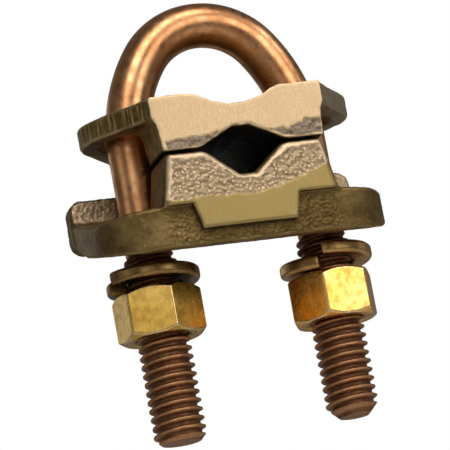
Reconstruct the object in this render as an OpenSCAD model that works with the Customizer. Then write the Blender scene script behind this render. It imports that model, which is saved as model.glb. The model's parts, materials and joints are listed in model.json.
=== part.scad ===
// U-bolt ground clamp: clamps a ground rod or pipe under the bend and a bare
// cable between two bronze saddles. Millimetres, +Z towards the bend.
// Origin: midway between the studs, at the level of their tips.
// The front, with the raised pad, faces -Y. The studs stand along X.

/* [U-bolt] */
// Distance between the two leg axes
leg_spacing = 32.3; // [31:0.1:34]
// Plain rod diameter
rod_dia = 8.1; // [7.6:0.1:8.5]
// Straight leg, stud tip to start of bend
leg_length = 53.1; // [52:0.1:70]
// Centre-line radius at the crown of the bend
crown_radius = 13.2; // [12:0.1:14]
// Centre-line radius at the shoulders, where the bend leaves the legs
shoulder_radius = 29.2; // [20:0.1:40]
// Stud thread major diameter, 3/8-16 UNC
thread_dia = 9.5; // [9.3:0.05:9.5]
// Threaded length of each stud
thread_length = 35; // [32:0.5:38]
// Chamfer on the stud tips
tip_chamfer = 1.2; // [0.5:0.1:1.5]

/* [Saddles] */
// Height of the face where the two saddles meet
joint_level = 48.9; // [48:0.1:50]
// Half depth of the upper saddle, front to back
upper_half_depth = 16.2; // [15:0.1:17]
// Half width of the upper saddle's front face
upper_half_width = 15.3; // [14.5:0.1:16]
// Height of the upper saddle's shoulders
upper_height = 9.9; // [9:0.1:10.5]
// Thickness of the upper saddle's lugs
upper_lug_thickness = 3.9; // [3:0.1:5]
// Radius of the upper saddle's lugs round the legs
upper_lug_radius = 8.8; // [8.5:0.1:10]
// Hole for the leg in each upper lug
upper_hole_dia = 11.2; // [10.9:0.1:12]
// Half width of the rod scallop
scallop_half_width = 7.4; // [6:0.1:9]
// Depth of the rod scallop
scallop_depth = 2.5; // [1.5:0.1:3.5]
// Half width of the cable slot at the meeting face
slot_half_width = 7.6; // [6:0.1:9]
// Depth of the cable groove in the upper saddle
upper_groove_depth = 3.2; // [2:0.1:4]
// Depth of the cable groove in the lower saddle
lower_groove_depth = 5.2; // [4:0.1:6]
// Half depth of the lower saddle, front to back
lower_half_depth = 15; // [14:0.1:15.5]
// Half length of the lower saddle's flange
flange_half_length = 26.6; // [26:0.1:28]
// Flange thickness along its front edge
flange_thickness = 7.6; // [6:0.1:9]
// How much higher the flange's underside is at the back than in front
underside_rise = 9.6; // [8:0.1:10]
// How much higher the lugs' top is at the back than in front
lug_rise = 3.9; // [3:0.1:5]
// Diameter of the flat washer seats
seat_dia = 18.4; // [17.4:0.1:19]
// Height of the washer seats above the underside's front edge
seat_height = 5.6; // [4.6:0.1:6]
// Radius of the flange's front corners
flange_front_radius = 11; // [6:0.1:12]
// Radius of the flange's back corners
flange_back_radius = 6.5; // [1:0.1:7]
// Height of the block on the flange
block_height = 9.6; // [9:0.1:11]
// Half width of the block at the meeting face
block_top_half_width = 14.4; // [12:0.1:15]
// Half width of the block where it meets the flange
block_base_half_width = 16.2; // [15:0.1:17]
// Hole for the stud in each lower lug
lower_hole_dia = 10.7; // [10.3:0.1:11.5]
// How far the block and its pad stand proud of the flange in front
pad_proud = 1.2; // [0.5:0.1:1.5]
// How far the pad reaches down over the flange
pad_drop = 4.9; // [3:0.1:6]
// Half width of the pad at its lower edge
pad_half_width = 8.7; // [7:0.1:10]

/* [Nuts and washers] */
// Nut size across the flats
nut_flats = 14.1; // [13.5:0.1:14.3]
// Nut height
nut_height = 8.7; // [8:0.1:9.5]
// Radial clearance of the nut on the stud
nut_clearance = 0.05; // [0.02:0.01:0.1]
// Underside's front edge to the left nut
left_nut_drop = 4.2; // [3:0.1:5]
// Underside's front edge to the right nut
right_nut_drop = 4.9; // [3:0.1:5.5]
// Lock washer outer diameter
washer_outer_dia = 16.9; // [16:0.1:17.2]
// Lock washer inner diameter
washer_inner_dia = 10.1; // [10:0.1:10.4]
// Lock washer section thickness
washer_thickness = 2.4; // [2:0.1:2.6]

/* [Hidden] */
$fn = 96;
leg_x = leg_spacing / 2;
// The bend has three centres: a wide arc at each shoulder, then the crown.
radius_difference = shoulder_radius - crown_radius;
shoulder_angle = acos((shoulder_radius - leg_x) / radius_difference);
crown_lift = radius_difference * sin(shoulder_angle);
blend_angle = 0.2;
blend_excess = 0.03;
block_level = joint_level - block_height;
underside_level = block_level - flange_thickness;
underside_lip = 2;
underside_knee_y = 4;
underside_knee_rise = 4.1;
lug_slope_front_y = -4;
scallop_radius = (scallop_half_width * scallop_half_width + scallop_depth * scallop_depth)
    / (2 * scallop_depth);
seat_boss_height = 1.8;
upstand_inner_x = 17.2;
upstand_front_y = 9.2;
upstand_back_y = 14;
upstand_height = 8.6;
upstand_corner_radius = 2.4;
block_front_depth = lower_half_depth + pad_proud;
nut_corner_radius = nut_flats / (2 * cos(30));
nut_chamfer = 0.7;
washer_split_gap = 7;
washer_play = 0.1;
washer_steps = 60;
through = 0.5;
upper_taper = 0.6;
upper_taper_height = 5.4;
pad_offset = -1.2;

bronze_red = [0.72, 0.42, 0.24];
bronze_face = [0.72, 0.60, 0.40];
bronze_cast = [0.50, 0.43, 0.24];
bronze_dark = [0.45, 0.34, 0.16];
brass = [0.78, 0.62, 0.26];

// ---- U-bolt ----

// One stud: thread, plain shank and chamfered tip, upwards from the tip.
module leg() {
    cylinder(h = tip_chamfer, d1 = thread_dia - 2 * tip_chamfer, d2 = thread_dia);
    translate([0, 0, tip_chamfer])
        cylinder(h = thread_length - tip_chamfer, d = thread_dia);
    translate([0, 0, thread_length])
        cylinder(h = leg_length - thread_length, d = rod_dia);
}

// A round rod bent to the radius, from start degrees through sweep degrees.
module bent_rod(radius, start, sweep) {
    rotate([90, 0, 0])
        rotate([0, 0, start])
            rotate_extrude(angle = sweep)
                translate([radius, 0])
                    circle(d = rod_dia);
}

// The right leg, its shoulder arc, and the bead that blends it into the crown.
module half_u_bolt() {
    translate([leg_x, 0, 0])
        leg();
    translate([leg_x - shoulder_radius, 0, leg_length])
        bent_rod(shoulder_radius, 0, shoulder_angle - blend_angle);
    translate([crown_radius * cos(shoulder_angle), 0,
        leg_length + crown_lift + crown_radius * sin(shoulder_angle)])
        sphere(d = rod_dia + blend_excess);
}

module u_bolt() {
    color(bronze_red) {
        half_u_bolt();
        mirror([1, 0, 0])
            half_u_bolt();
        translate([0, 0, leg_length + crown_lift])
            bent_rod(crown_radius, shoulder_angle + blend_angle,
                180 - 2 * (shoulder_angle + blend_angle));
    }
}

// ---- Saddles ----

// Extrudes an X-Z outline from the given depth in front to the one behind.
module across(front, back) {
    translate([0, back, 0])
        rotate([90, 0, 0])
            linear_extrude(height = front + back)
                children();
}

module groove_outline(depth) {
    polygon([[-slot_half_width, 0], [-1.4, depth], [1.4, depth], [slot_half_width, 0]]);
}

module upper_outline() {
    difference() {
        polygon([
            [-upper_half_width + upper_taper, 0],
            [-upper_half_width, upper_taper_height],
            [-upper_half_width, upper_height],
            [upper_half_width, upper_height],
            [upper_half_width, upper_taper_height],
            [upper_half_width - upper_taper, 0],
        ]);
        translate([0, upper_height + scallop_radius - scallop_depth])
            circle(r = scallop_radius);
        translate([0, -0.01])
            groove_outline(upper_groove_depth);
    }
}

// Half of the lug plate: a round lug joined to the body's corners by tangents.
module upper_lug_outline() {
    corner_x = upper_half_width - leg_x;
    corner_distance = norm([corner_x, upper_half_depth]);
    tangent_angle = acos(upper_lug_radius / corner_distance);
    corner_angle = atan2(upper_half_depth, corner_x);
    touch_angle = corner_angle - tangent_angle;
    touch_x = upper_lug_radius * cos(touch_angle);
    touch_y = upper_lug_radius * sin(touch_angle);
    difference() {
        union() {
            circle(r = upper_lug_radius);
            polygon([
                [corner_x - 3, -upper_half_depth],
                [corner_x, -upper_half_depth],
                [touch_x, -touch_y],
                [touch_x, touch_y],
                [corner_x, upper_half_depth],
                [corner_x - 3, upper_half_depth],
            ]);
        }
        translate([-leg_x, -upper_half_depth - 1])
            square([upper_half_width - 2, 2 * upper_half_depth + 2]);
    }
}

module upper_saddle() {
    color(bronze_face)
        difference() {
            translate([0, 0, joint_level])
                union() {
                    across(upper_half_depth, upper_half_depth)
                        upper_outline();
                    for (side = [0, 1])
                        mirror([side, 0, 0])
                            translate([leg_x, 0, upper_height - upper_lug_thickness])
                                linear_extrude(height = upper_lug_thickness)
                                    upper_lug_outline();
                }
            for (side = [-1, 1])
                translate([side * leg_x, 0, joint_level - through])
                    cylinder(h = upper_height + 2 * through, d = upper_hole_dia);
        }
}

module block_outline() {
    difference() {
        polygon([
            [-block_base_half_width, -1],
            [-block_base_half_width, 0.6],
            [-block_top_half_width, block_height],
            [block_top_half_width, block_height],
            [block_base_half_width, 0.6],
            [block_base_half_width, -1],
        ]);
        translate([0, block_height + 0.01])
            mirror([0, 1])
                groove_outline(lower_groove_depth);
    }
}

// Flange seen from its end: a front lip, then an underside and a top that rise to the back.
module flange_profile() {
    polygon([
        [-lower_half_depth, underside_level],
        [-lower_half_depth + underside_lip, underside_level],
        [underside_knee_y, underside_level + underside_knee_rise],
        [lower_half_depth, underside_level + underside_rise],
        [lower_half_depth, block_level + lug_rise],
        [upstand_front_y, block_level + lug_rise],
        [lug_slope_front_y, block_level],
        [-lower_half_depth, block_level],
    ]);
}

module flange_outline() {
    front_x = flange_half_length - flange_front_radius;
    back_x = flange_half_length - flange_back_radius;
    front_y = lower_half_depth - flange_front_radius;
    back_y = lower_half_depth - flange_back_radius;
    translate([-flange_half_length, -front_y])
        square([2 * flange_half_length, front_y + back_y]);
    translate([-front_x, -lower_half_depth])
        square([2 * front_x, lower_half_depth]);
    translate([-back_x, 0])
        square([2 * back_x, lower_half_depth]);
    for (side = [-1, 1]) {
        translate([side * front_x, -front_y])
            circle(r = flange_front_radius);
        translate([side * back_x, back_y])
            circle(r = flange_back_radius);
    }
}

module flange() {
    intersection() {
        translate([0, 0, underside_level])
            linear_extrude(height = flange_thickness + lug_rise)
                flange_outline();
        rotate([90, 0, 90])
            translate([0, 0, -flange_half_length])
                linear_extrude(height = 2 * flange_half_length)
                    flange_profile();
    }
}

// Raised rib at the back of a lug, rounded at its outer top corner.
module upstand() {
    width = flange_half_length - upstand_inner_x;
    translate([upstand_inner_x, upstand_back_y, block_level - 1])
        rotate([90, 0, 0])
            linear_extrude(height = upstand_back_y - upstand_front_y) {
                translate([0, upstand_corner_radius])
                    square([width, upstand_height + 1 - 2 * upstand_corner_radius]);
                square([width - upstand_corner_radius, upstand_height + 1]);
                translate([width - upstand_corner_radius, upstand_corner_radius])
                    circle(r = upstand_corner_radius);
                translate([width - upstand_corner_radius,
                    upstand_height + 1 - upstand_corner_radius])
                    circle(r = upstand_corner_radius);
            }
}

// Tongue of the block's front face that runs down over the flange.
module front_pad() {
    translate([pad_offset, -lower_half_depth + 1, block_level])
        rotate([90, 0, 0])
            linear_extrude(height = pad_proud + 1)
                polygon([
                    [-pad_half_width - 1.4, 1],
                    [-pad_half_width, -pad_drop],
                    [pad_half_width, -pad_drop],
                    [pad_half_width + 1.4, 1],
                ]);
}

module lower_saddle() {
    color(bronze_cast)
        difference() {
            union() {
                flange();
                translate([0, 0, block_level])
                    across(block_front_depth, lower_half_depth)
                        block_outline();
                front_pad();
                for (side = [-1, 1])
                    translate([side * leg_x, 0, underside_level + seat_height])
                        cylinder(h = seat_boss_height, d = seat_dia);
                for (side = [0, 1])
                    mirror([side, 0, 0])
                        upstand();
            }
            for (side = [-1, 1])
                translate([side * leg_x, 0, underside_level - through]) {
                    cylinder(h = seat_height + through, d = seat_dia);
                    cylinder(h = flange_thickness + block_height + 2 * through,
                        d = lower_hole_dia);
                }
        }
}

// ---- Nuts and washers ----

module hex_nut() {
    bore_dia = thread_dia + 2 * nut_clearance;
    chamfer_radius = nut_flats / 2 - 0.15;
    chamfer_rise = nut_chamfer * (nut_corner_radius - chamfer_radius);
    difference() {
        intersection() {
            cylinder(h = nut_height, r = nut_corner_radius, $fn = 6);
            rotate_extrude()
                polygon([
                    [0, 0],
                    [chamfer_radius, 0],
                    [nut_corner_radius, chamfer_rise],
                    [nut_corner_radius, nut_height - chamfer_rise],
                    [chamfer_radius, nut_height],
                    [0, nut_height],
                ]);
        }
        translate([0, 0, -through])
            cylinder(h = nut_height + 2 * through, d = bore_dia);
    }
}

// A split ring of square section that falls by drop over its one turn.
module split_ring(drop) {
    inner = washer_inner_dia / 2;
    outer = washer_outer_dia / 2;
    sweep = 360 - washer_split_gap;
    points = [for (i = [0:washer_steps])
        let (a = sweep * i / washer_steps, z = drop * (1 - i / washer_steps))
            each [
                [inner * cos(a), inner * sin(a), z],
                [outer * cos(a), outer * sin(a), z],
                [outer * cos(a), outer * sin(a), z + washer_thickness],
                [inner * cos(a), inner * sin(a), z + washer_thickness],
            ]];
    sides = [for (i = [0:washer_steps - 1], k = [0:3])
        let (p = 4 * i + k, q = 4 * i + (k + 1) % 4)
            each [[p, p + 4, q], [q, p + 4, q + 4]]];
    last = 4 * washer_steps;
    ends = [[0, 1, 2], [0, 2, 3], [last + 2, last + 1, last], [last + 3, last + 2, last]];
    polyhedron(points = points, faces = concat(sides, ends));
}

// The split stands at the given angle, its higher end just past it.
module lock_washer(nut_drop, split_angle) {
    drop = nut_drop - washer_thickness - 2 * washer_play;
    translate([0, 0, underside_level - nut_drop + washer_play])
        rotate([0, 0, split_angle + washer_split_gap / 2])
            split_ring(drop);
}

module lock_washer_left() {
    color(bronze_dark)
        translate([-leg_x, 0, 0])
            lock_washer(left_nut_drop, -172);
}

module lock_washer_right() {
    color(bronze_dark)
        translate([leg_x, 0, 0])
            lock_washer(right_nut_drop, -113.5);
}

module hex_nut_left() {
    color(brass)
        translate([-leg_x, 0, underside_level - left_nut_drop - nut_height])
            rotate([0, 0, -24.5])
                hex_nut();
}

module hex_nut_right() {
    color(brass)
        translate([leg_x, 0, underside_level - right_nut_drop - nut_height])
            rotate([0, 0, 5.5])
                hex_nut();
}

u_bolt();
upper_saddle();
lower_saddle();
lock_washer_left();
lock_washer_right();
hex_nut_left();
hex_nut_right();
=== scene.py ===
import json
import math
import bpy
import numpy as np
import openvdb
from mathutils import Matrix, Vector


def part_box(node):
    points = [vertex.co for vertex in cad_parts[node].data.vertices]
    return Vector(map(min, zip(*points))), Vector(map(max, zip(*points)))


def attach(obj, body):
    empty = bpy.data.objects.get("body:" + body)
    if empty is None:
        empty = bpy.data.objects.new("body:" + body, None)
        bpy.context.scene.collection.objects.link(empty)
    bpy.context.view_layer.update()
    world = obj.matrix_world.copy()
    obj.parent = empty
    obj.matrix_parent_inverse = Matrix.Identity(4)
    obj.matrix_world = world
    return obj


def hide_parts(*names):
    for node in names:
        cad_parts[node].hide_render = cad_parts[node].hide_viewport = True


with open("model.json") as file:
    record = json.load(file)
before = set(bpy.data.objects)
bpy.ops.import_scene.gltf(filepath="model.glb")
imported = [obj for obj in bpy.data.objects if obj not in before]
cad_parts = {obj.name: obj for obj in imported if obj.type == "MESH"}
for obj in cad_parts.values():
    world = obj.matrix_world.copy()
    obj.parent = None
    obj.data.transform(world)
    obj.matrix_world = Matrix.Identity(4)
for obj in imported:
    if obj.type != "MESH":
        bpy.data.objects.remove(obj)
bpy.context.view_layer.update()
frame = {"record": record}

# ---- Sizes, in millimetres in the part's own frame ----
# The record gives the first ones; the others repeat the CAD part's dimensions.

MM = 1000.0
record = frame["record"]
mounts = {m["name"]: m for m in record["mounts"]}
leg_x = mounts["stud_ends"]["dims"]["spacing_x_mm"] / 2
thread_r = mounts["stud_ends"]["dims"]["stud_r_mm"]
scallop_r = mounts["rod_seat"]["dims"]["r_mm"]
turns_per_mm = record["behaviour"]["couplings"][0]["ratio"] / (2 * math.pi) / MM
pitch = 1 / turns_per_mm

rod_r = 4.05
leg_length = 53.1
crown_r = 13.2
shoulder_r = 29.2
thread_length = 35.0
thread_depth = 0.84
# The right stud's tip was ground down further than the left one's.
left_tip_chamfer, right_tip_chamfer = 1.2, 2.1
right_tip_z = 0.7

upper_half_width = 15.3
upper_taper, upper_taper_height = 0.6, 5.4
upper_lug_thickness = 3.9
upper_hole_r = 5.6
scallop_depth = 2.5
groove_flat = 1.4
upper_groove_depth, upper_groove_mouth, upper_groove_past = 3.2, 9.98, 1.0

joint_z = 48.9
lower_half_depth = 15.0
flange_thickness = 7.6
flange_front_r, flange_back_r = 11.0, 6.5
underside_lip = 2.0
knee_y, knee_rise, underside_rise = 4.0, 4.1, 9.6
lug_slope_y, lug_rise = -4.0, 3.9
seat_r, seat_height, seat_boss = 9.2, 5.6, 1.8
lower_hole_r = 5.35
block_base_half, block_top_half, block_foot = 16.2, 14.4, 0.6
lower_groove_depth, lower_groove_mouth, lower_groove_past = 5.2, 9.0, 1.2
pad_half_width, pad_drop, pad_offset, pad_flare = 8.7, 4.9, -1.2, 1.4
upstand_inner_x, upstand_front_y, upstand_back_y = 17.2, 9.2, 14.0
upstand_height, upstand_r = 8.6, 2.4

nut_flats = 14.1
nut_clearance = 0.05
nut_chamfer_angle = 0.61
washer_inner_r, washer_outer_r, washer_thickness, washer_gap_deg = 5.05, 8.45, 2.4, 7.0


def box_mm(node):
    lo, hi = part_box(node)
    return np.array(lo) * MM, np.array(hi) * MM


# ---- Small tools ----

def lattice(ix, iy, iz, seed):
    """A fixed number from -1 to 1 for each lattice point."""
    h = (ix * 73856093) ^ (iy * 19349663) ^ (iz * 83492791) ^ (seed * 2654435761)
    h = h & 0xFFFFFFFF
    h = ((h ^ (h >> 15)) * 2246822519) & 0xFFFFFFFF
    h = ((h ^ (h >> 13)) * 3266489917) & 0xFFFFFFFF
    h = h ^ (h >> 16)
    return h / 2147483647.5 - 1.0


def cell_corners(f):
    """The eight corners of a lattice cell, with the share of each at the place f inside it."""
    for dx in (0, 1):
        for dy in (0, 1):
            for dz in (0, 1):
                share_x = f[:, 0] if dx else 1 - f[:, 0]
                share_y = f[:, 1] if dy else 1 - f[:, 1]
                share_z = f[:, 2] if dz else 1 - f[:, 2]
                yield dx, dy, dz, share_x * share_y * share_z


def noise(p, cell, seed=0):
    """Smooth noise from -1 to 1 at points p, with features about a cell apart."""
    q = p / np.asarray(cell, float)
    i = np.floor(q).astype(np.int64)
    f = q - i
    f = f * f * f * (f * (f * 6 - 15) + 10)
    total = np.zeros(len(p))
    for dx, dy, dz, share in cell_corners(f):
        total += share * lattice(i[:, 0] + dx, i[:, 1] + dy, i[:, 2] + dz, seed)
    return total


def fractal(p, cell, octaves=3, seed=0):
    """Noise in several octaves, from about -1 to 1."""
    cell = np.asarray(cell, float)
    total, weight = np.zeros(len(p)), 0.0
    for k in range(octaves):
        total += noise(p, cell / 2**k, seed + k) / 2**k
        weight += 1 / 2**k
    return total / weight * 1.6


def smooth(a, b, v):
    """0 where v is a, 1 where it is b, and smooth between them."""
    t = np.clip((v - a) / (b - a), 0, 1)
    return t * t * (3 - 2 * t)


def fill_mesh(name, points, faces, flags):
    """A smooth mesh object from points in millimetres; flags are named numbers for each point."""
    mesh = bpy.data.meshes.new(name)
    mesh.from_pydata((points / MM).tolist(), [], faces)
    for key, values in flags.items():
        layer = mesh.attributes.new(key, "FLOAT", "POINT")
        layer.data.foreach_set("value", np.asarray(values, np.float32))
    mesh.polygons.foreach_set("use_smooth", [True] * len(mesh.polygons))
    mesh.update()
    obj = bpy.data.objects.new(name, mesh)
    bpy.context.scene.collection.objects.link(obj)
    return obj


def place(obj, node, material):
    """Put a finished piece where its CAD node was."""
    obj.data.materials.append(material)
    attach(obj, node)
    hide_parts(node)


# ---- Distance fields, for the castings and the nuts ----

class Field:
    """A box of sample points, and the surface where a distance over it is zero."""

    def __init__(self, lo, hi, step):
        self.lo, self.step = np.array(lo, float) - 1.2, step
        counts = np.ceil((np.array(hi, float) + 1.2 - self.lo) / step).astype(int)
        axes = [self.lo[k] + step * np.arange(counts[k]) for k in range(3)]
        self.x = axes[0][:, None, None]
        self.y = axes[1][None, :, None]
        self.z = axes[2][None, None, :]

    def surface(self, distance):
        limit = 3 * self.step
        values = np.clip(distance, -limit, limit).astype(np.float32)
        volume = openvdb.FloatGrid(limit)
        volume.copyFromArray(values)
        points, quads = volume.convertToQuads(0.0)
        points = points.astype(float) * self.step + self.lo
        quads = np.array(quads)
        a, b, c = (points[quads[:, k]] for k in (0, 1, 2))
        if np.einsum("ij,ij->i", a, np.cross(b - a, c - a)).sum() < 0:
            quads = quads[:, ::-1]
        return points, quads

    def at(self, values, p):
        """The values, read between the sample points."""
        q = np.clip((p - self.lo) / self.step, 0, np.array(values.shape) - 1.001)
        i = q.astype(int)
        f = q - i
        total = np.zeros(len(p))
        for dx, dy, dz, share in cell_corners(f):
            total += share * values[i[:, 0] + dx, i[:, 1] + dy, i[:, 2] + dz]
        return total

    def softened(self, values, sigma):
        """The values blurred over sigma millimetres."""
        reach = int(math.ceil(2.5 * sigma / self.step))
        taps = np.exp(-0.5 * (np.arange(-reach, reach + 1) * self.step / sigma) ** 2)
        taps /= taps.sum()
        out = values.astype(np.float32)
        for axis in range(3):
            padded = np.pad(
                out, [(reach, reach) if k == axis else (0, 0) for k in range(3)], mode="edge"
            )
            size, total = out.shape[axis], np.zeros_like(out)
            for k, tap in enumerate(taps.astype(np.float32)):
                total += tap * np.take(padded, range(k, k + size), axis=axis)
            out = total
        return out


def joined(a, b, fillet):
    """Both solids, with a fillet between them."""
    u = np.maximum(fillet - a, 0)
    v = np.maximum(fillet - b, 0)
    return np.maximum(fillet, np.minimum(a, b)) - np.sqrt(u * u + v * v)


def common(a, b, rounding):
    """What both solids share, with its edges rounded."""
    u = np.maximum(rounding + a, 0)
    v = np.maximum(rounding + b, 0)
    return np.minimum(-rounding, np.maximum(a, b)) + np.sqrt(u * u + v * v)


def cut(a, b, rounding):
    """The first solid without the second, with its edges rounded."""
    return common(a, -b, rounding)


def outline(x, y, corners):
    """Signed distance to a closed polygon."""
    corners = np.array(corners, float)
    best, sign = np.inf, 1.0
    for a, b in zip(corners, np.roll(corners, 1, axis=0)):
        ex, ey = b - a
        wx, wy = x - a[0], y - a[1]
        t = np.clip((wx * ex + wy * ey) / (ex * ex + ey * ey), 0, 1)
        dx, dy = wx - ex * t, wy - ey * t
        best = np.minimum(best, dx * dx + dy * dy)
        above, below, side = y >= a[1], y < b[1], ex * wy > ey * wx
        sign = sign * np.where((above & below & side) | (~above & ~below & ~side), -1.0, 1.0)
    return sign * np.sqrt(best)


def v_groove(x, z, joint, depth, mouth, past):
    """A V with a flat bottom; depth is up in the upper saddle and down, negative, in the lower."""
    open_z = joint - math.copysign(past, depth)
    return outline(
        x,
        z,
        [
            (-mouth, open_z),
            (-groove_flat, joint + depth),
            (groove_flat, joint + depth),
            (mouth, open_z),
        ],
    )


def normals_of(field, distance, p):
    """Outward unit normals at points near the surface."""
    g = np.stack(
        [
            field.at(distance, p + d) - field.at(distance, p - d)
            for d in np.eye(3) * field.step
        ],
        axis=1,
    )
    return g / np.maximum(np.linalg.norm(g, axis=1, keepdims=True), 1e-9)


def bend_of(field, distance, p, sigma=0.55, limit=2.5):
    """Above 0 on outer edges and below 0 in hollows, by blurring the distance."""
    return field.at(field.softened(np.clip(distance, -limit, limit), sigma), p)


# ---- Node materials ----

def shade(colour, share):
    return tuple(min(1.0, share * c) for c in colour)


class Shader:
    """Builds a node material; positions are in millimetres in the part's frame."""

    def __init__(self, name):
        self.material = bpy.data.materials.new(name)
        self.material.use_nodes = True
        self.tree = self.material.node_tree
        self.bsdf = next(n for n in self.tree.nodes if n.type == "BSDF_PRINCIPLED")
        self.place_node = self.tree.nodes.new("ShaderNodeTexCoord")

    def link(self, source, socket):
        if isinstance(source, (int, float)):
            socket.default_value = source
        elif isinstance(source, tuple):
            socket.default_value = (*source, 1.0)
        else:
            self.tree.links.new(source, socket)

    def where(self, scale=(1, 1, 1)):
        node = self.tree.nodes.new("ShaderNodeMapping")
        self.tree.links.new(self.place_node.outputs["Object"], node.inputs["Vector"])
        node.inputs["Scale"].default_value = [MM * s for s in scale]
        return node.outputs["Vector"]

    def noise(self, size, detail=4.0, rough=0.55, stretch=(1, 1, 1)):
        """Noise from 0 to 1 with features about size millimetres across, or longer where stretch is small."""
        node = self.tree.nodes.new("ShaderNodeTexNoise")
        self.tree.links.new(self.where(stretch), node.inputs["Vector"])
        node.inputs["Scale"].default_value = 1 / size
        node.inputs["Detail"].default_value = detail
        node.inputs["Roughness"].default_value = rough
        return node.outputs["Fac"]

    def cells(self, size):
        """Distance to the nearest of points about size millimetres apart."""
        node = self.tree.nodes.new("ShaderNodeTexVoronoi")
        self.tree.links.new(self.where(), node.inputs["Vector"])
        node.inputs["Scale"].default_value = 1 / size
        return node.outputs["Distance"]

    def flag(self, name):
        """The numbers that the mesh holds under that name."""
        node = self.tree.nodes.new("ShaderNodeAttribute")
        node.attribute_name = name
        return node.outputs["Fac"]

    def math(self, operation, a, b):
        node = self.tree.nodes.new("ShaderNodeMath")
        node.operation = operation
        self.link(a, node.inputs[0])
        self.link(b, node.inputs[1])
        return node.outputs[0]

    def times(self, a, b):
        return self.math("MULTIPLY", a, b)

    def span(self, value, lo, hi, out_lo=0.0, out_hi=1.0):
        node = self.tree.nodes.new("ShaderNodeMapRange")
        node.interpolation_type = "SMOOTHSTEP"
        self.link(value, node.inputs["Value"])
        node.inputs["From Min"].default_value = lo
        node.inputs["From Max"].default_value = hi
        node.inputs["To Min"].default_value = out_lo
        node.inputs["To Max"].default_value = out_hi
        return node.outputs["Result"]

    def mix(self, factor, a, b):
        """A colour between a and b."""
        node = self.tree.nodes.new("ShaderNodeMix")
        node.data_type = "RGBA"
        self.link(factor, node.inputs["Factor"])
        self.link(a, node.inputs[6])
        self.link(b, node.inputs[7])
        return node.outputs[2]

    def fade(self, factor, a, b):
        """A number between a and b."""
        node = self.tree.nodes.new("ShaderNodeMix")
        node.data_type = "FLOAT"
        self.link(factor, node.inputs["Factor"])
        self.link(a, node.inputs[2])
        self.link(b, node.inputs[3])
        return node.outputs[0]

    def bump(self, height, distance):
        """A normal with bumps; a height of 1 stands for distance millimetres."""
        node = self.tree.nodes.new("ShaderNodeBump")
        node.inputs["Distance"].default_value = distance / MM
        node.inputs["Strength"].default_value = 1.0
        self.link(height, node.inputs["Height"])
        return node.outputs["Normal"]

    def finish(self, colour, rough, metallic, normal):
        self.link(colour, self.bsdf.inputs["Base Color"])
        self.link(rough, self.bsdf.inputs["Roughness"])
        self.link(metallic, self.bsdf.inputs["Metallic"])
        self.tree.links.new(normal, self.bsdf.inputs["Normal"])
        return self.material


def casting(name, cast_dark, cast_light, ground_dark, ground_light, patch, tan):
    """Cast bronze: a rough skin, ground flats with faint straight marks, dark rough patches, painted shade in
    hollows and grooves, and pale edges that are partly wear and partly painted highlight.
    """
    s = Shader(name)
    ground, rough_patch, tan_part = s.flag("ground"), s.flag("patch"), s.flag("tan")
    edge, hollow_shade, inside = s.flag("edge"), s.flag("hollow_shade"), s.flag("inside")
    broad, middle, fine = s.noise(9, 3), s.noise(2.2, 5, 0.65), s.noise(0.45, 5, 0.7)
    pebbles = s.times(s.flag("pebbled"), s.span(s.cells(0.75), 0.15, 0.6))

    skin = s.mix(s.span(broad, 0.35, 0.65), cast_dark, cast_light)
    skin = s.mix(s.span(middle, 0.35, 0.75, 0.0, 0.6), skin, shade(cast_dark, 0.45))
    skin = s.mix(s.span(fine, 0.56, 0.74, 0.0, 0.6), skin, shade(cast_light, 1.7))
    upright = s.noise(0.5, 3, 0.6, (1, 1, 0.07))
    streaks = s.times(s.flag("streaks"), s.span(upright, 0.48, 0.64))
    skin = s.mix(s.times(streaks, 0.7), skin, shade(cast_light, 2.2))
    # The tan: the lower block's cast band has it of its own; on the upper's right lug and the upstands'
    # fronts it is painted light.
    skin = s.mix(s.times(tan_part, 0.85), skin, tan)
    skin = s.mix(s.times(pebbles, 0.5), skin, shade(cast_dark, 0.8))

    marks, grain = s.noise(0.32, 4, 0.7, (1.5, 1.5, 0.16)), s.noise(0.22, 3, 0.7)
    speckle = s.fade(0.5, marks, grain)
    face = s.mix(s.span(speckle, 0.38, 0.62), ground_dark, ground_light)
    face = s.mix(s.span(s.noise(5, 3), 0.4, 0.7, 0.0, 0.25), face, ground_dark)
    grey = s.mix(s.span(fine, 0.36, 0.62), patch, shade(patch, 2.6))

    colour = s.mix(rough_patch, skin, grey)
    colour = s.mix(ground, colour, face)
    # Painted shade: hollows and inner corners are darkened.
    colour = s.mix(s.times(hollow_shade, 0.75), colour, shade(cast_dark, 0.25))
    # Pale edges: partly rubbed wear, partly painted highlight.
    worn = s.times(edge, s.span(middle, 0.3, 0.6, 0.3, 0.9))
    bright = s.mix(tan_part, shade(ground_light, 1.05), tan)
    colour = s.mix(worn, colour, bright)
    # Painted shadow: inside the cable grooves the colour is taken nearly to black.
    colour = s.mix(s.times(inside, 0.96), colour, shade(cast_dark, 0.05))

    cast_rough, ground_rough = s.span(fine, 0.3, 0.7, 0.42, 0.62), s.span(speckle, 0.3, 0.7, 0.42, 0.54)
    rough = s.fade(worn, s.fade(ground, cast_rough, ground_rough), 0.38)
    dull = s.math("MAXIMUM", s.math("MAXIMUM", hollow_shade, rough_patch), inside)
    metallic = s.span(dull, 0.0, 1.0, 1.0, 0.7)
    skin_bumps = s.math("ADD", middle, s.times(fine, 0.7))
    skin_bumps = s.math("SUBTRACT", skin_bumps, s.times(pebbles, 1.3))
    normal = s.bump(s.fade(ground, skin_bumps, s.times(speckle, 0.3)), 0.11)
    return s.finish(colour, rough, metallic, normal)


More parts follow.
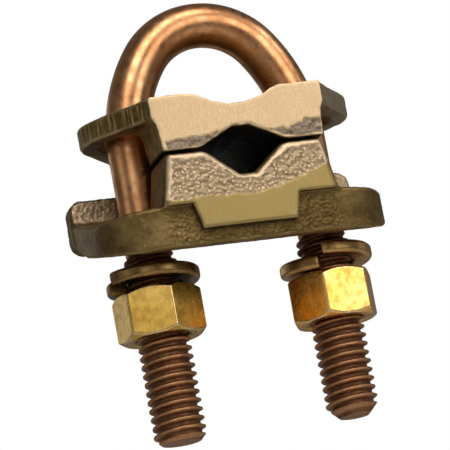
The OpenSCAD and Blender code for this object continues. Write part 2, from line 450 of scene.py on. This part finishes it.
def rod_material():
    """Drawn bronze rod, copper-coloured, with dark thread roots: dirt and painted shade."""
    s = Shader("rod_bronze")
    thread, root = s.flag("thread"), s.flag("root")
    broad, middle, fine = s.noise(7, 4, 0.6), s.noise(1.8, 3, 0.55), s.noise(0.35, 4, 0.7)
    colour = s.mix(s.span(broad, 0.35, 0.68), (0.60, 0.27, 0.115), (0.76, 0.42, 0.21))
    colour = s.mix(s.span(middle, 0.5, 0.75, 0.0, 0.55), colour, (0.42, 0.19, 0.075))
    colour = s.mix(s.span(fine, 0.62, 0.8, 0.0, 0.35), colour, (0.86, 0.55, 0.33))
    # Thread roots: dirt and painted shade darken them.
    grime_and_shade = s.mix(s.span(middle, 0.3, 0.7), (0.12, 0.05, 0.02), (0.24, 0.11, 0.05))
    crest = s.mix(s.span(fine, 0.35, 0.7), (0.40, 0.19, 0.085), (0.62, 0.35, 0.18))
    colour = s.mix(thread, colour, s.mix(root, crest, grime_and_shade))
    plain_rough, thread_rough = s.span(middle, 0.3, 0.7, 0.26, 0.40), s.span(fine, 0.3, 0.7, 0.36, 0.56)
    rough = s.fade(thread, plain_rough, thread_rough)
    metallic = s.span(s.times(thread, root), 0.0, 1.0, 1.0, 0.8)
    normal = s.bump(s.fade(thread, s.noise(1.8, 1, 0.5), fine), 0.03)
    return s.finish(colour, rough, metallic, normal)


def nut_material(name, dark, light):
    """Yellow bronze, nearly polished, with pale edges that are partly wear and partly painted highlight, and
    painted shade in the bore and hollows.
    """
    s = Shader(name)
    edge, hollow_shade = s.flag("edge"), s.flag("hollow_shade")
    broad, middle, fine = s.noise(6, 3, 0.5), s.noise(1.4, 3, 0.5), s.noise(0.4, 2, 0.5, (1, 1, 0.3))
    colour = s.mix(s.span(broad, 0.35, 0.65), dark, light)
    colour = s.mix(s.span(middle, 0.5, 0.75, 0.0, 0.4), colour, shade(dark, 0.75))
    colour = s.mix(s.times(edge, 0.8), colour, (0.90, 0.72, 0.42))
    colour = s.mix(s.times(hollow_shade, 0.8), colour, (0.12, 0.06, 0.02))
    rough = s.span(middle, 0.3, 0.7, 0.20, 0.34)
    return s.finish(colour, rough, 1.0, s.bump(s.math("ADD", fine, middle), 0.014))


def washer_material(name, dark, light):
    """Satin bronze in the colours given, with a paler rim and ends that are partly wear and partly painted
    highlight.
    """
    s = Shader(name)
    edge = s.flag("edge")
    broad, middle, fine = s.noise(5, 4, 0.6), s.noise(1.3, 5, 0.65), s.noise(0.3, 4, 0.7)
    colour = s.mix(s.span(broad, 0.35, 0.65), dark, light)
    colour = s.mix(s.span(middle, 0.5, 0.75, 0.0, 0.6), colour, shade(dark, 0.5))
    colour = s.mix(s.times(edge, 0.4), colour, (0.60, 0.40, 0.16))
    rough = s.span(middle, 0.3, 0.7, 0.24, 0.40)
    return s.finish(colour, rough, 1.0, s.bump(s.math("ADD", middle, s.times(fine, 0.5)), 0.04))


# ---- U-bolt ----

def tube_faces(rings, around):
    """Quads between neighbouring rings of around points each."""
    i = np.arange(rings - 1)[:, None] * around
    k = np.arange(around)[None, :]
    n = (k + 1) % around
    return np.stack([i + k, i + n, i + around + n, i + around + k], axis=2).reshape(-1, 4)


def thread_radius(z, phi, chamfer, tip_z):
    """Radius of the stud at height z and azimuth phi, and how deep in the thread it is."""
    turn = np.mod(z / pitch - phi / (2 * math.pi), 1.0)
    off_crest = np.abs(2 * turn - 1)
    crest = 0.5 + 0.5 * np.cos(math.pi * np.clip((off_crest - 0.12) / 0.68, 0, 1))
    run_out = smooth(thread_length, thread_length - 2.2, z)
    radius = rod_r + run_out * (thread_r - thread_depth - rod_r + thread_depth * crest)
    cone = thread_r - chamfer + np.maximum(z - tip_z, 0)
    return np.minimum(radius, cone), (1 - crest) * run_out


def centre_line():
    """Rows of x, z and the direction out of the bend, from the right tip to the left one."""
    bend = math.acos((shoulder_r - leg_x) / (shoulder_r - crown_r))
    crown_z = leg_length + (shoulder_r - crown_r) * math.sin(bend)
    threaded, plain = np.arange(0, thread_length, 0.09), np.arange(thread_length, leg_length, 0.5)
    right = [(leg_x, z, 1.0, 0.0) for z in np.concatenate([threaded, plain])]
    for a in np.linspace(0, bend, 36):
        across, up = math.cos(a), math.sin(a)
        right.append(
            (leg_x - shoulder_r + shoulder_r * across, leg_length + shoulder_r * up, across, up)
        )
    crown = np.linspace(bend, math.pi - bend, 76)[1:-1]
    middle = [
        (crown_r * math.cos(a), crown_z + crown_r * math.sin(a), math.cos(a), math.sin(a))
        for a in crown
    ]
    left = [(-x, z, -nx, nz) for x, z, nx, nz in reversed(right)]
    return np.array(right + middle + left)


tip_rings = (0.93, 0.8, 0.6, 0.4, 0.2)


def tip_points(rim, x):
    """Rings and a centre that close a sheared stud tip and dish it inwards."""
    base = rim[0, 2]
    centre = np.array([x, 0.0, 0.0])
    rings = []
    for share in tip_rings:
        ring = centre + (rim - centre) * share
        ring[:, 2] = base + (1 - share) * 0.35 + noise(ring, 1.3, 41) * 0.12 * (share < 0.9)
        rings.append(ring)
    return np.vstack(rings + [np.array([[x, 0.0, base + 0.3]])])


def tip_faces(rim_start, start, around, left):
    """Faces from the rim to the rings and the centre that begin at point number start."""
    k = np.arange(around)
    n = (k + 1) % around
    rings = [rim_start] + [start + around * i for i in range(len(tip_rings))]
    faces = []
    for outer, inner in zip(rings, rings[1:]):
        a, b = (outer, inner) if left else (inner, outer)
        faces += np.stack([a + k, a + n, b + n, b + k], axis=1).tolist()
    last, centre = rings[-1], start + around * len(tip_rings)
    for i, j in zip(k, n):
        triangle = [int(last + i), int(last + j), centre]
        faces.append(triangle if left else triangle[::-1])
    return faces


def u_bolt():
    around = 112
    path = centre_line()
    angle = np.arange(around) * 2 * math.pi / around
    cx, cz, nx, nz = (path[:, k][:, None] for k in range(4))
    phi = np.where(nx > 0, angle[None, :], math.pi - angle[None, :])
    straight = np.abs(nz) < 1e-9
    z = np.where(straight, cz, leg_length) + 0 * phi
    tip_z = np.where(cx > 0, right_tip_z, 0.0)
    chamfer = np.where(cx > 0, right_tip_chamfer, left_tip_chamfer)
    radius, depth = thread_radius(z, phi, chamfer, tip_z)
    cz = np.maximum(cz, tip_z)
    threaded = np.where(straight, smooth(thread_length + 0.3, thread_length - 1.2, z), 0.0)

    def points_for(r):
        out = r * np.cos(angle)
        return np.stack(
            [cx + out * nx, r * np.sin(angle) + 0 * cx, cz + out * nz], axis=2
        ).reshape(-1, 3)

    smooth_points = points_for(radius)
    thread, root = threaded.reshape(-1), depth.reshape(-1)
    worn = fractal(smooth_points, 2.4, 3, 5) * 0.05 + noise(smooth_points, 0.5, 9) * 0.02
    nick = np.maximum(noise(smooth_points, 1.1, 31) - 0.35, 0) * (1 - root) * 0.22
    gentle = fractal(smooth_points, 6.0, 2, 15) * 0.02
    radius = radius + (thread * (worn - nick) + (1 - thread) * gentle).reshape(radius.shape)
    points = points_for(np.minimum(radius, thread_r))
    faces = tube_faces(len(path), around).tolist()

    # Above the nuts the crests are darkened as well: painted shade under the flange.
    shade_above_nuts = 0.75 * smooth(27, 29, z).reshape(-1) * thread
    thread_flag, root_flag = [thread], [np.maximum(root, shade_above_nuts)]
    meshes, start = [points], len(points)
    for rim_start, x in ((0, leg_x), ((len(path) - 1) * around, -leg_x)):
        tip = tip_points(points[rim_start : rim_start + around], x)
        faces += tip_faces(rim_start, start, around, x < 0)
        meshes.append(tip)
        start += len(tip)
        thread_flag.append(np.ones(len(tip)))
        root_flag.append(np.full(len(tip), 0.45))
    flags = {"thread": np.concatenate(thread_flag), "root": np.concatenate(root_flag)}
    return fill_mesh("u_bolt_look", np.vstack(meshes), faces, flags)


# ---- Saddles ----

SADDLE_STEP = 0.2


def upper_lug(x, y, lug_r, depth):
    """A round lug with flat sides that run as tangents to the body's front and back corners."""
    px = np.abs(x) - leg_x
    corner = np.array([upper_half_width - leg_x, -depth])
    touch = math.atan2(depth, corner[0]) - math.acos(lug_r / math.hypot(*corner))
    tangent = np.array([lug_r * math.cos(touch), -lug_r * math.sin(touch)])
    away = (corner - tangent) / np.linalg.norm(corner - tangent)
    end = corner + 5 * away
    web = outline(
        px,
        y,
        [
            (end[0] - 6, end[1]),
            (end[0], end[1]),
            (tangent[0], tangent[1]),
            (tangent[0], -tangent[1]),
            (end[0], -end[1]),
            (end[0] - 6, -end[1]),
        ],
    )
    return np.minimum(np.hypot(px, y) - lug_r, web)


def upper_saddle():
    lo, hi = box_mm("upper_saddle")
    joint, top, depth = lo[2], hi[2], hi[1]
    f = Field(lo, hi, SADDLE_STEP)
    x, y, z = f.x, f.y, f.z
    foot = upper_half_width - upper_taper
    profile = outline(
        x,
        z,
        [
            (-foot, joint),
            (-upper_half_width, joint + upper_taper_height),
            (-upper_half_width, top + 4),
            (upper_half_width, top + 4),
            (upper_half_width, joint + upper_taper_height),
            (foot, joint),
        ],
    )
    scallop = np.hypot(x, z - (top + scallop_r - scallop_depth)) - scallop_r
    groove = v_groove(x, z, joint, upper_groove_depth, upper_groove_mouth, upper_groove_past)
    body = common(profile, np.abs(y) - depth - 3, 0.2)
    lug = upper_lug(x, y, hi[0] - leg_x, depth)
    plate = common(lug, (top - upper_lug_thickness) - z + 0 * lug, 0.55)
    solid = joined(body, plate, 1.5)
    solid = common(solid, z - top, 0.55)
    solid = cut(solid, scallop, 0.8)
    solid = common(solid, np.abs(y) - depth, 0.22)
    solid = cut(solid, groove, 0.45)
    solid = cut(solid, np.hypot(np.abs(x) - leg_x, y) - upper_hole_r, 0.45)
    points, quads = f.surface(solid)
    n = normals_of(f, solid, points)
    bend = bend_of(f, solid, points)
    px, py, pz = points.T
    up = pz - joint

    # The front was ground flat: low spots along its lower edge kept the cast skin.
    on_front = smooth(0.75, 0.95, -n[:, 1])
    ragged = fractal(points, (1.5, 3, 0.9), 3, 3)
    groove_share = (upper_groove_mouth - np.abs(px)) / (upper_groove_mouth - groove_flat)
    groove_line = groove_share * (upper_groove_depth + upper_groove_past) - upper_groove_past
    groove_line = np.clip(groove_line, 0, upper_groove_depth)
    above_groove = up - groove_line
    left_top = 1.5 + 0.1 * (px + 13.7)
    left_patch = np.minimum.reduce([px + 14.2, -4.4 - px, left_top - up, above_groove + 0.1])
    right_top = 2.0 + smooth(8.5, 11.5, px)
    right_patch = np.minimum.reduce([px - 5.2, 15.2 - px, right_top - up, above_groove - 0.25])
    patch = smooth(-0.05, 0.2, np.maximum(left_patch, right_patch) + 0.3 * ragged) * on_front
    on_back = smooth(0.75, 0.95, n[:, 1])
    back_patch = smooth(-0.3, 0.1, 3.2 - up + 0.7 * ragged) * on_back
    ground = np.maximum(on_front * (1 - patch), on_back - back_patch)
    on_joint = smooth(0.6, 0.9, -n[:, 2]) * (up < 0.6)
    skin = (1 - ground) * (1 - on_joint)
    lumps = fractal(points, 3.5, 2, 21) * 0.07 + fractal(points, 0.9, 3, 22) * 0.05
    points = points + n * (skin * lumps)[:, None]
    points[:, 1] += patch * (0.22 + 0.16 * fractal(points, 0.8, 2, 23))
    # Painted shadow deep inside the cable groove.
    slot_shadow = smooth(0.5, 0.2, above_groove) * smooth(depth - 0.2, depth - 1.2, np.abs(py))
    flags = {
        "ground": ground,
        "patch": np.maximum(patch, back_patch),
        # Pale edges: partly wear, partly painted highlight.
        "edge": smooth(0.10, 0.30, bend) * (1 - patch),
        # Painted shade in the hollows and inner corners.
        "hollow_shade": smooth(0.08, 0.30, -bend),
        "streaks": (1 - ground) * smooth(0.6, 0.3, np.abs(n[:, 2])),
        # The right lug is made a lighter tan than the left one: painted light.
        "tan": 0.7 * smooth(15.6, 16.4, px),
        "inside": slot_shadow,
    }
    return fill_mesh("upper_saddle_look", points, quads.tolist(), flags)


def flange_plan(x, y, half_length):
    """The flange from above: a rectangle with larger front corners than back corners."""
    corner_r = np.where(y < 0, flange_front_r, flange_back_r)
    qx, qy = np.abs(x) - (half_length - corner_r), np.abs(y) - (lower_half_depth - corner_r)
    outside = np.hypot(np.maximum(qx, 0), np.maximum(qy, 0))
    return outside + np.minimum(np.maximum(qx, qy), 0) - corner_r


def flange_side(y, z, under, level):
    """The flange from the side: its underside rises to the back in two slopes, and so do its lugs."""
    past = lower_half_depth + 4
    back_slope = (underside_rise - knee_rise) / (lower_half_depth - knee_y)
    return outline(
        y,
        z,
        [
            (-past, under),
            (underside_lip - lower_half_depth, under),
            (knee_y, under + knee_rise),
            (past, under + knee_rise + back_slope * (past - knee_y)),
            (past, level + lug_rise),
            (upstand_front_y, level + lug_rise),
            (lug_slope_y, level),
            (-past, level),
        ],
    )


def lower_block(x, y, z, front, level):
    """The block on the flange, and its front outline with the cable groove."""
    profile = outline(
        x,
        z,
        [
            (-block_base_half, level - 6),
            (-block_base_half, level + block_foot),
            (-block_top_half, joint_z),
            (block_top_half, joint_z),
            (block_base_half, level + block_foot),
            (block_base_half, level - 6),
        ],
    )
    groove = v_groove(x, z, joint_z, -lower_groove_depth, lower_groove_mouth, lower_groove_past)
    top_line = cut(common(profile, z - joint_z, 1.3), groove, 1.0)
    block = common(top_line, front - y, 1.8)
    block = common(block, y - lower_half_depth, 0.6)
    block = common(block, (level - pad_drop) - z + 0 * block, 0.4)
    return np.maximum(block, (level - 0.2) - z), top_line


def front_pad(x, y, z, front, level):
    """The ground tongue of the block's front that runs down over the flange."""
    wide = pad_half_width + pad_flare
    face = outline(
        x - pad_offset,
        z,
        [
            (-wide, level + 1),
            (-pad_half_width, level - pad_drop),
            (pad_half_width, level - pad_drop),
            (wide, level + 1),
        ],
    )
    return common(face, np.maximum(front - y, y + 10), 0.45)


def upstand(x, y, z, half_length, level):
    """A raised rib at the back of each lug, rounded at its outer corners."""
    outer, inner = np.abs(x) - half_length, upstand_inner_x - np.abs(x)
    ends = np.maximum(z - (level + upstand_height), (level - 1) - z)
    rib = common(common(outer, ends, upstand_r), inner, 0.7)
    middle_y, half_depth = (upstand_back_y + upstand_front_y) / 2, (upstand_back_y - upstand_front_y) / 2
    return common(rib, np.abs(y - middle_y) - half_depth, 0.9)


def lower_saddle():
    lo, hi = box_mm("lower_saddle")
    under, front, half_length = lo[2], lo[1], hi[0]
    level, seat = under + flange_thickness, under + seat_height
    f = Field(lo, hi, SADDLE_STEP)
    x, y, z = f.x, f.y, f.z
    flange = common(flange_plan(x, y, half_length), flange_side(y, z, under, level), 0.75)
    block, top_line = lower_block(x, y, z, front, level)
    solid = joined(flange, block, 0.9)
    solid = np.minimum(solid, front_pad(x, y, z, front, level))
    solid = joined(solid, upstand(x, y, z, half_length, level), 1.1)
    from_leg = np.hypot(np.abs(x) - leg_x, y)
    boss = np.maximum(from_leg - seat_r, np.abs(z - seat - seat_boss / 2) - seat_boss / 2)
    solid = np.minimum(solid, boss)
    solid = cut(solid, np.maximum(from_leg - seat_r, z - seat), 0.3)
    solid = cut(solid, from_leg - lower_hole_r, 0.5)
    points, quads = f.surface(solid)
    n = normals_of(f, solid, points)
    bend = bend_of(f, solid, points)
    px, py, pz = points.T
    inner = -f.at(np.broadcast_to(top_line, solid.shape), points)

    # The block's front: a smooth rim, a pebbled cast band, and ground metal down to the pad's foot.
    on_front = smooth(0.7, 0.95, -n[:, 1])
    proud = smooth(0.45, 0.8, -n[:, 1]) * (py < front + 0.9)
    ragged = fractal(points, (1.6, 3, 1.0), 3, 53)
    ground_top = level + 0.5 + 0.014 * np.maximum(px + 2, 0) ** 2
    ground = smooth(-0.15, 0.15, ground_top - pz + 0.35 * ragged) * proud
    off_rim = smooth(1.0, 1.7, inner + 0.3 * ragged) * smooth(1.5, 2.4, joint_z - pz + 0.4 * ragged)
    band = proud * (1 - ground) * off_rim
    beside_pad = on_front * (1 - proud) * smooth(17.5, 14.0, np.abs(px)) * (pz < level + 1.5)
    on_upstand = (py > 8.5) * (pz > level + 1)
    on_joint = smooth(0.8, 0.95, n[:, 2]) * (pz > joint_z - 0.3)
    skin = (1 - ground) * (1 - on_joint)
    coarse = np.clip(band + 0.8 * beside_pad + 0.45 * on_upstand, 0, 1)
    pebbles = fractal(points, (0.62, 0.62, 0.5), 2, 61)
    lumps = fractal(points, 4.0, 2, 62) * 0.045 + fractal(points, 0.9, 3, 63) * 0.035
    points = points + n * (skin * (lumps + coarse * 0.13 * pebbles))[:, None]
    points[:, 1] += band * 0.18
    # Painted shadow inside the cable groove, behind the front.
    groove_shadow = smooth(0.7, 0.3, inner) * (pz > joint_z - 6) * (np.abs(px) < 8.4)
    flags = {
        "ground": ground,
        "patch": 0.15 * band * smooth(0.1, 0.6, -pebbles),
        "pebbled": coarse * (1 - ground),
        # Pale edges: partly wear, partly painted highlight.
        "tan": np.maximum(proud * (1 - ground), 0.8 * on_front * (py > 5)),
        # Painted shade in the hollows and inner corners.
        "edge": smooth(0.08, 0.30, bend) * (1 - band),
        # The cast band's own tan, and on the upstands' fronts a painted highlight.
        "hollow_shade": smooth(0.08, 0.30, -bend),
        "inside": groove_shadow * smooth(-14.6, -13.4, py),
    }
    return fill_mesh("lower_saddle_look", points, quads.tolist(), flags)


# ---- Nuts and washers ----

NUT_STEP = 0.13


def hex_nut(node, turn_deg, seed):
    lo, hi = box_mm(node)
    centre, half_height = (lo + hi) / 2, (hi[2] - lo[2]) / 2
    f = Field(lo, hi, NUT_STEP)
    x, y, z = f.x - centre[0], f.y - centre[1], f.z - centre[2]
    prism = None
    for k in range(6):
        a = math.radians(30 + 60 * k + turn_deg)
        side = x * math.cos(a) + y * math.sin(a) - nut_flats / 2
        prism = side if prism is None else common(prism, side, 0.22)
    r = np.hypot(x, y)
    past_end = np.abs(z) - half_height
    slope, rise = math.sin(nut_chamfer_angle), math.cos(nut_chamfer_angle)
    chamfer = past_end * rise + (r - nut_flats / 2 + 0.15) * slope
    bore = r - (thread_r + nut_clearance)
    mouth = (r - thread_r - 0.6) * 0.7 - past_end * 0.7
    solid = common(common(prism, past_end + 0 * r, 0.12), chamfer, 0.16)
    solid = cut(cut(solid, bore, 0.1), mouth, 0.1)
    points, quads = f.surface(solid)
    n = normals_of(f, solid, points)
    bend = bend_of(f, solid, points, 0.35, 1.5)
    from_axis = np.hypot(points[:, 0] - centre[0], points[:, 1] - centre[1])
    outer = smooth(5.2, 5.8, from_axis)
    dents = np.maximum(noise(points, 2.6, seed) - 0.5, 0) * 0.04
    dents = dents + fractal(points, 5, 2, seed + 3) * 0.02
    points = points - n * (outer * dents)[:, None]
    flags = {
        # Pale edges: partly wear, partly painted highlight.
        "edge": smooth(0.06, 0.18, bend) * outer,
        # Painted shade in the bore and in hollows.
        "hollow_shade": np.maximum(smooth(5.35, 4.9, from_axis), smooth(0.08, 0.2, -bend)),
    }
    return fill_mesh(node + "_look", points, quads.tolist(), flags)


def washer_section():
    """The bar's section, rounded most on its outer corners."""
    outer_r, inner_r = 0.75, 0.35
    section = []
    for cx, cz, r, start in (
        (washer_outer_r - outer_r, washer_thickness - outer_r, outer_r, 0),
        (washer_inner_r + inner_r, washer_thickness - inner_r, inner_r, 90),
        (washer_inner_r + inner_r, inner_r, inner_r, 180),
        (washer_outer_r - outer_r, outer_r, outer_r, 270),
    ):
        for a in np.radians(np.linspace(start, start + 90, 8)):
            section.append((cx + r * math.cos(a), cz + r * math.sin(a)))
    return np.array(section)


def lock_washer(node, split_deg, seed):
    """A bar swept round the stud from its high end down to its low end, beside the split."""
    lo, hi = box_mm(node)
    x0 = math.copysign(leg_x, lo[0])
    drop = hi[2] - lo[2] - washer_thickness
    section = washer_section()
    middle = section.mean(axis=0)
    around = len(section)
    sweep = 360 - washer_gap_deg
    # The bar's ends are eased over their last degree.
    end_deg, end_inset = np.array([0, 0.15, 0.5, 1.2]), np.array([0.22, 0.1, 0.03, 0])
    steps = 170
    stations = np.concatenate([end_deg, np.linspace(3, sweep - 3, steps), sweep - end_deg[::-1]])
    inset = np.concatenate([end_inset, np.zeros(steps), end_inset[::-1]])
    rings = []
    for a, small in zip(stations, inset):
        s = middle + (section - middle) * (1 - small / 1.5)
        t = math.radians(a + split_deg + washer_gap_deg / 2)
        h = lo[2] + drop * (1 - a / sweep)
        rings.append(
            np.stack([x0 + s[:, 0] * math.cos(t), s[:, 0] * math.sin(t), h + s[:, 1]], axis=1)
        )
    points = np.vstack(rings)
    faces = tube_faces(len(rings), around)[:, ::-1].tolist()
    last = (len(rings) - 1) * around
    faces.append(list(range(around)))
    faces.append([last + k for k in reversed(range(around))])
    out = points - np.array([x0, 0, 0])
    out[:, 2] = 0
    from_axis = np.linalg.norm(out, axis=1)
    # Paler rim: partly wear, partly painted highlight.
    edge = smooth(washer_outer_r - 1.0, washer_outer_r - 0.1, from_axis)
    ends = np.zeros((len(rings), around))
    ends[:4] = ends[-4:] = 0.8
    wear = fractal(points, 1.8, 3, seed) * 0.04
    points = points + out * (wear / from_axis)[:, None]
    points[:, 2] = np.clip(points[:, 2], lo[2], hi[2])
    flags = {"edge": np.maximum(edge, ends.reshape(-1))}
    return fill_mesh(node + "_look", points, faces, flags)


# ---- The pieces ----

rod_bronze = rod_material()
upper_bronze = casting(
    "upper_casting",
    cast_dark=(0.15, 0.10, 0.035),
    cast_light=(0.30, 0.215, 0.085),
    ground_dark=(0.61, 0.43, 0.235),
    ground_light=(0.81, 0.61, 0.38),
    patch=(0.15, 0.115, 0.08),
    tan=(0.46, 0.38, 0.30),
)
# The lower casting's ground colours are a darker olive than the upper's, standing in for shade: painted
# shade.
lower_bronze = casting(
    "lower_casting",
    cast_dark=(0.16, 0.10, 0.035),
    cast_light=(0.30, 0.205, 0.08),
    ground_dark=(0.35, 0.25, 0.09),
    ground_light=(0.43, 0.32, 0.125),
    patch=(0.20, 0.145, 0.09),
    tan=(0.86, 0.66, 0.44),
)
# The right nut's brass is brighter than the left's: partly its own tone, partly painted light for its
# brightly lit faces.
left_brass = nut_material("nut_brass_left", (0.62, 0.37, 0.07), (0.74, 0.48, 0.12))
right_brass = nut_material("nut_brass_right", (0.90, 0.42, 0.07), (0.96, 0.56, 0.16))
# Both washers are coloured darker for the shade under the flange, the left one nearly to black: painted
# shade.
shaded_left_washer = washer_material("washer_bronze_left", (0.09, 0.045, 0.012), (0.22, 0.125, 0.04))
right_washer = washer_material("washer_bronze_right", (0.38, 0.21, 0.06), (0.66, 0.41, 0.15))

place(u_bolt(), "u_bolt", rod_bronze)
place(upper_saddle(), "upper_saddle", upper_bronze)
place(lower_saddle(), "lower_saddle", lower_bronze)
place(hex_nut("hex_nut_left", -24.5, 71), "hex_nut_left", left_brass)
place(hex_nut("hex_nut_right", 5.5, 81), "hex_nut_right", right_brass)
place(lock_washer("lock_washer_left", -172, 91), "lock_washer_left", shaded_left_washer)
place(lock_washer("lock_washer_right", -113.5, 95), "lock_washer_right", right_washer)

# ---- Floor, light and camera ----

FLOOR_Z = -0.23
FLOOR_HALF = 4.0


def lay_floor():
    """A pale floor, far below the clamp, which hangs over it as it does in the photo."""
    corners = [(-1, -1), (1, -1), (1, 1), (-1, 1)]
    mesh = bpy.data.meshes.new("floor")
    mesh.from_pydata(
        [(FLOOR_HALF * x, FLOOR_HALF * y, FLOOR_Z) for x, y in corners], [], [(0, 1, 2, 3)]
    )
    floor = bpy.data.objects.new("floor", mesh)
    bpy.context.scene.collection.objects.link(floor)
    s = Shader("floor_pale")
    tint = s.mix(s.noise(400, 2), (0.80, 0.79, 0.77), (0.84, 0.83, 0.81))
    mesh.materials.append(s.finish(tint, 0.8, 0.0, s.bump(s.noise(30, 3), 0.2)))
    # The lamps stand near the clamp and hardly reach the floor, so it glows for the camera alone.
    glow = s.tree.nodes.new("ShaderNodeEmission")
    s.link(tint, glow.inputs["Color"])
    rays = s.tree.nodes.new("ShaderNodeLightPath")
    blend = s.tree.nodes.new("ShaderNodeMixShader")
    s.link(s.times(rays.outputs["Is Camera Ray"], 0.85), blend.inputs[0])
    s.tree.links.new(s.bsdf.outputs["BSDF"], blend.inputs[1])
    s.tree.links.new(glow.outputs[0], blend.inputs[2])
    surface = next(n for n in s.tree.nodes if n.type == "OUTPUT_MATERIAL").inputs["Surface"]
    s.tree.links.new(blend.outputs[0], surface)


def light_the_room():
    """White behind the clamp, and for its metal a dim room that is a little lighter at the back."""
    world = bpy.data.worlds.new("studio")
    bpy.context.scene.world = world
    world.use_nodes = True
    nodes, links = world.node_tree.nodes, world.node_tree.links
    room = next(n for n in nodes if n.type == "BACKGROUND")
    room.inputs["Color"].default_value = (1, 0.98, 0.95, 1)
    white = nodes.new("ShaderNodeBackground")
    white.inputs["Color"].default_value = (1, 1, 1, 1)
    coords = nodes.new("ShaderNodeTexCoord")
    split = nodes.new("ShaderNodeSeparateXYZ")
    links.new(coords.outputs["Generated"], split.inputs[0])
    to_back = nodes.new("ShaderNodeMapRange")
    to_back.interpolation_type = "SMOOTHSTEP"
    links.new(split.outputs["Y"], to_back.inputs["Value"])
    to_back.inputs["From Min"].default_value = 0.1
    to_back.inputs["From Max"].default_value = 0.9
    to_back.inputs["To Min"].default_value = 0.08
    to_back.inputs["To Max"].default_value = 0.16
    links.new(to_back.outputs["Result"], room.inputs["Strength"])
    rays = nodes.new("ShaderNodeLightPath")
    choose = nodes.new("ShaderNodeMixShader")
    links.new(rays.outputs["Is Camera Ray"], choose.inputs[0])
    links.new(room.outputs[0], choose.inputs[1])
    links.new(white.outputs[0], choose.inputs[2])
    out = next(n for n in nodes if n.type == "OUTPUT_WORLD")
    links.new(choose.outputs[0], out.inputs[0])


lay_floor()
light_the_room()
aim = Vector((-1.1, 0.3, 38.25)) / MM


LAMP_DISTANCE = 0.9
WARM, NEUTRAL, WHITE = (1, 0.97, 0.93), (1, 0.98, 0.95), (1, 1, 1)


def softbox(name, azimuth, elevation, width, height, power, colour):
    """A soft light, by the direction it stands in: azimuth 0 is +X and 270 is the front."""
    a, e = math.radians(azimuth), math.radians(elevation)
    towards = Vector((math.cos(a) * math.cos(e), math.sin(a) * math.cos(e), math.sin(e)))
    lamp = bpy.data.lights.new(name, "AREA")
    lamp.shape = "RECTANGLE"
    lamp.size, lamp.size_y = width, height
    lamp.energy = power
    lamp.color = colour
    obj = bpy.data.objects.new(name, lamp)
    bpy.context.scene.collection.objects.link(obj)
    obj.location = aim + towards * LAMP_DISTANCE
    obj.rotation_mode = "QUATERNION"
    obj.rotation_quaternion = (-towards).to_track_quat("-Z", "Y")


softbox("key", 297, 20, 0.42, 0.42, 1.75, WARM)
softbox("front", 243, 13, 0.4, 0.4, 0.5, WARM)
softbox("high_front", 250, 42, 0.4, 0.3, 2.4, NEUTRAL)
softbox("top", 285, 60, 0.4, 0.3, 1.8, NEUTRAL)
softbox("high_right", 335, 36, 0.3, 0.3, 0.9, WARM)
softbox("back_left", 114, 14, 0.4, 0.4, 0.24, WHITE)
softbox("left", 190, 12, 0.4, 0.4, 0.32, (1, 0.93, 0.85))
softbox("right", 357, 10, 0.3, 0.4, 0.2, (1, 0.95, 0.88))

# The photo was taken from 17 degrees to the left and 12.5 degrees below, and is turned by 10.3.
psi, tilt, roll, distance = math.radians(17), math.radians(-12.5), math.radians(10.3), 0.7
towards = Vector((-math.sin(psi) * math.cos(tilt), -math.cos(psi) * math.cos(tilt), math.sin(tilt)))
level_right = Vector((math.cos(psi), -math.sin(psi), 0))
level_up = Vector((math.sin(psi) * math.sin(tilt), math.cos(psi) * math.sin(tilt), math.cos(tilt)))
right = level_right * math.cos(roll) - level_up * math.sin(roll)
up = level_right * math.sin(roll) + level_up * math.cos(roll)
camera_data = bpy.data.cameras.new("camera")
camera_data.sensor_width = 36
camera_data.lens = 313
camera_data.clip_start, camera_data.clip_end = 0.01, 20
camera = bpy.data.objects.new("camera", camera_data)
bpy.context.scene.collection.objects.link(camera)
place_at = aim + towards * distance
camera.matrix_world = Matrix(
    (
        (right.x, up.x, towards.x, place_at.x),
        (right.y, up.y, towards.y, place_at.y),
        (right.z, up.z, towards.z, place_at.z),
        (0, 0, 0, 1),
    )
)
bpy.context.scene.camera = camera
bpy.context.scene.view_settings.view_transform = "Standard"
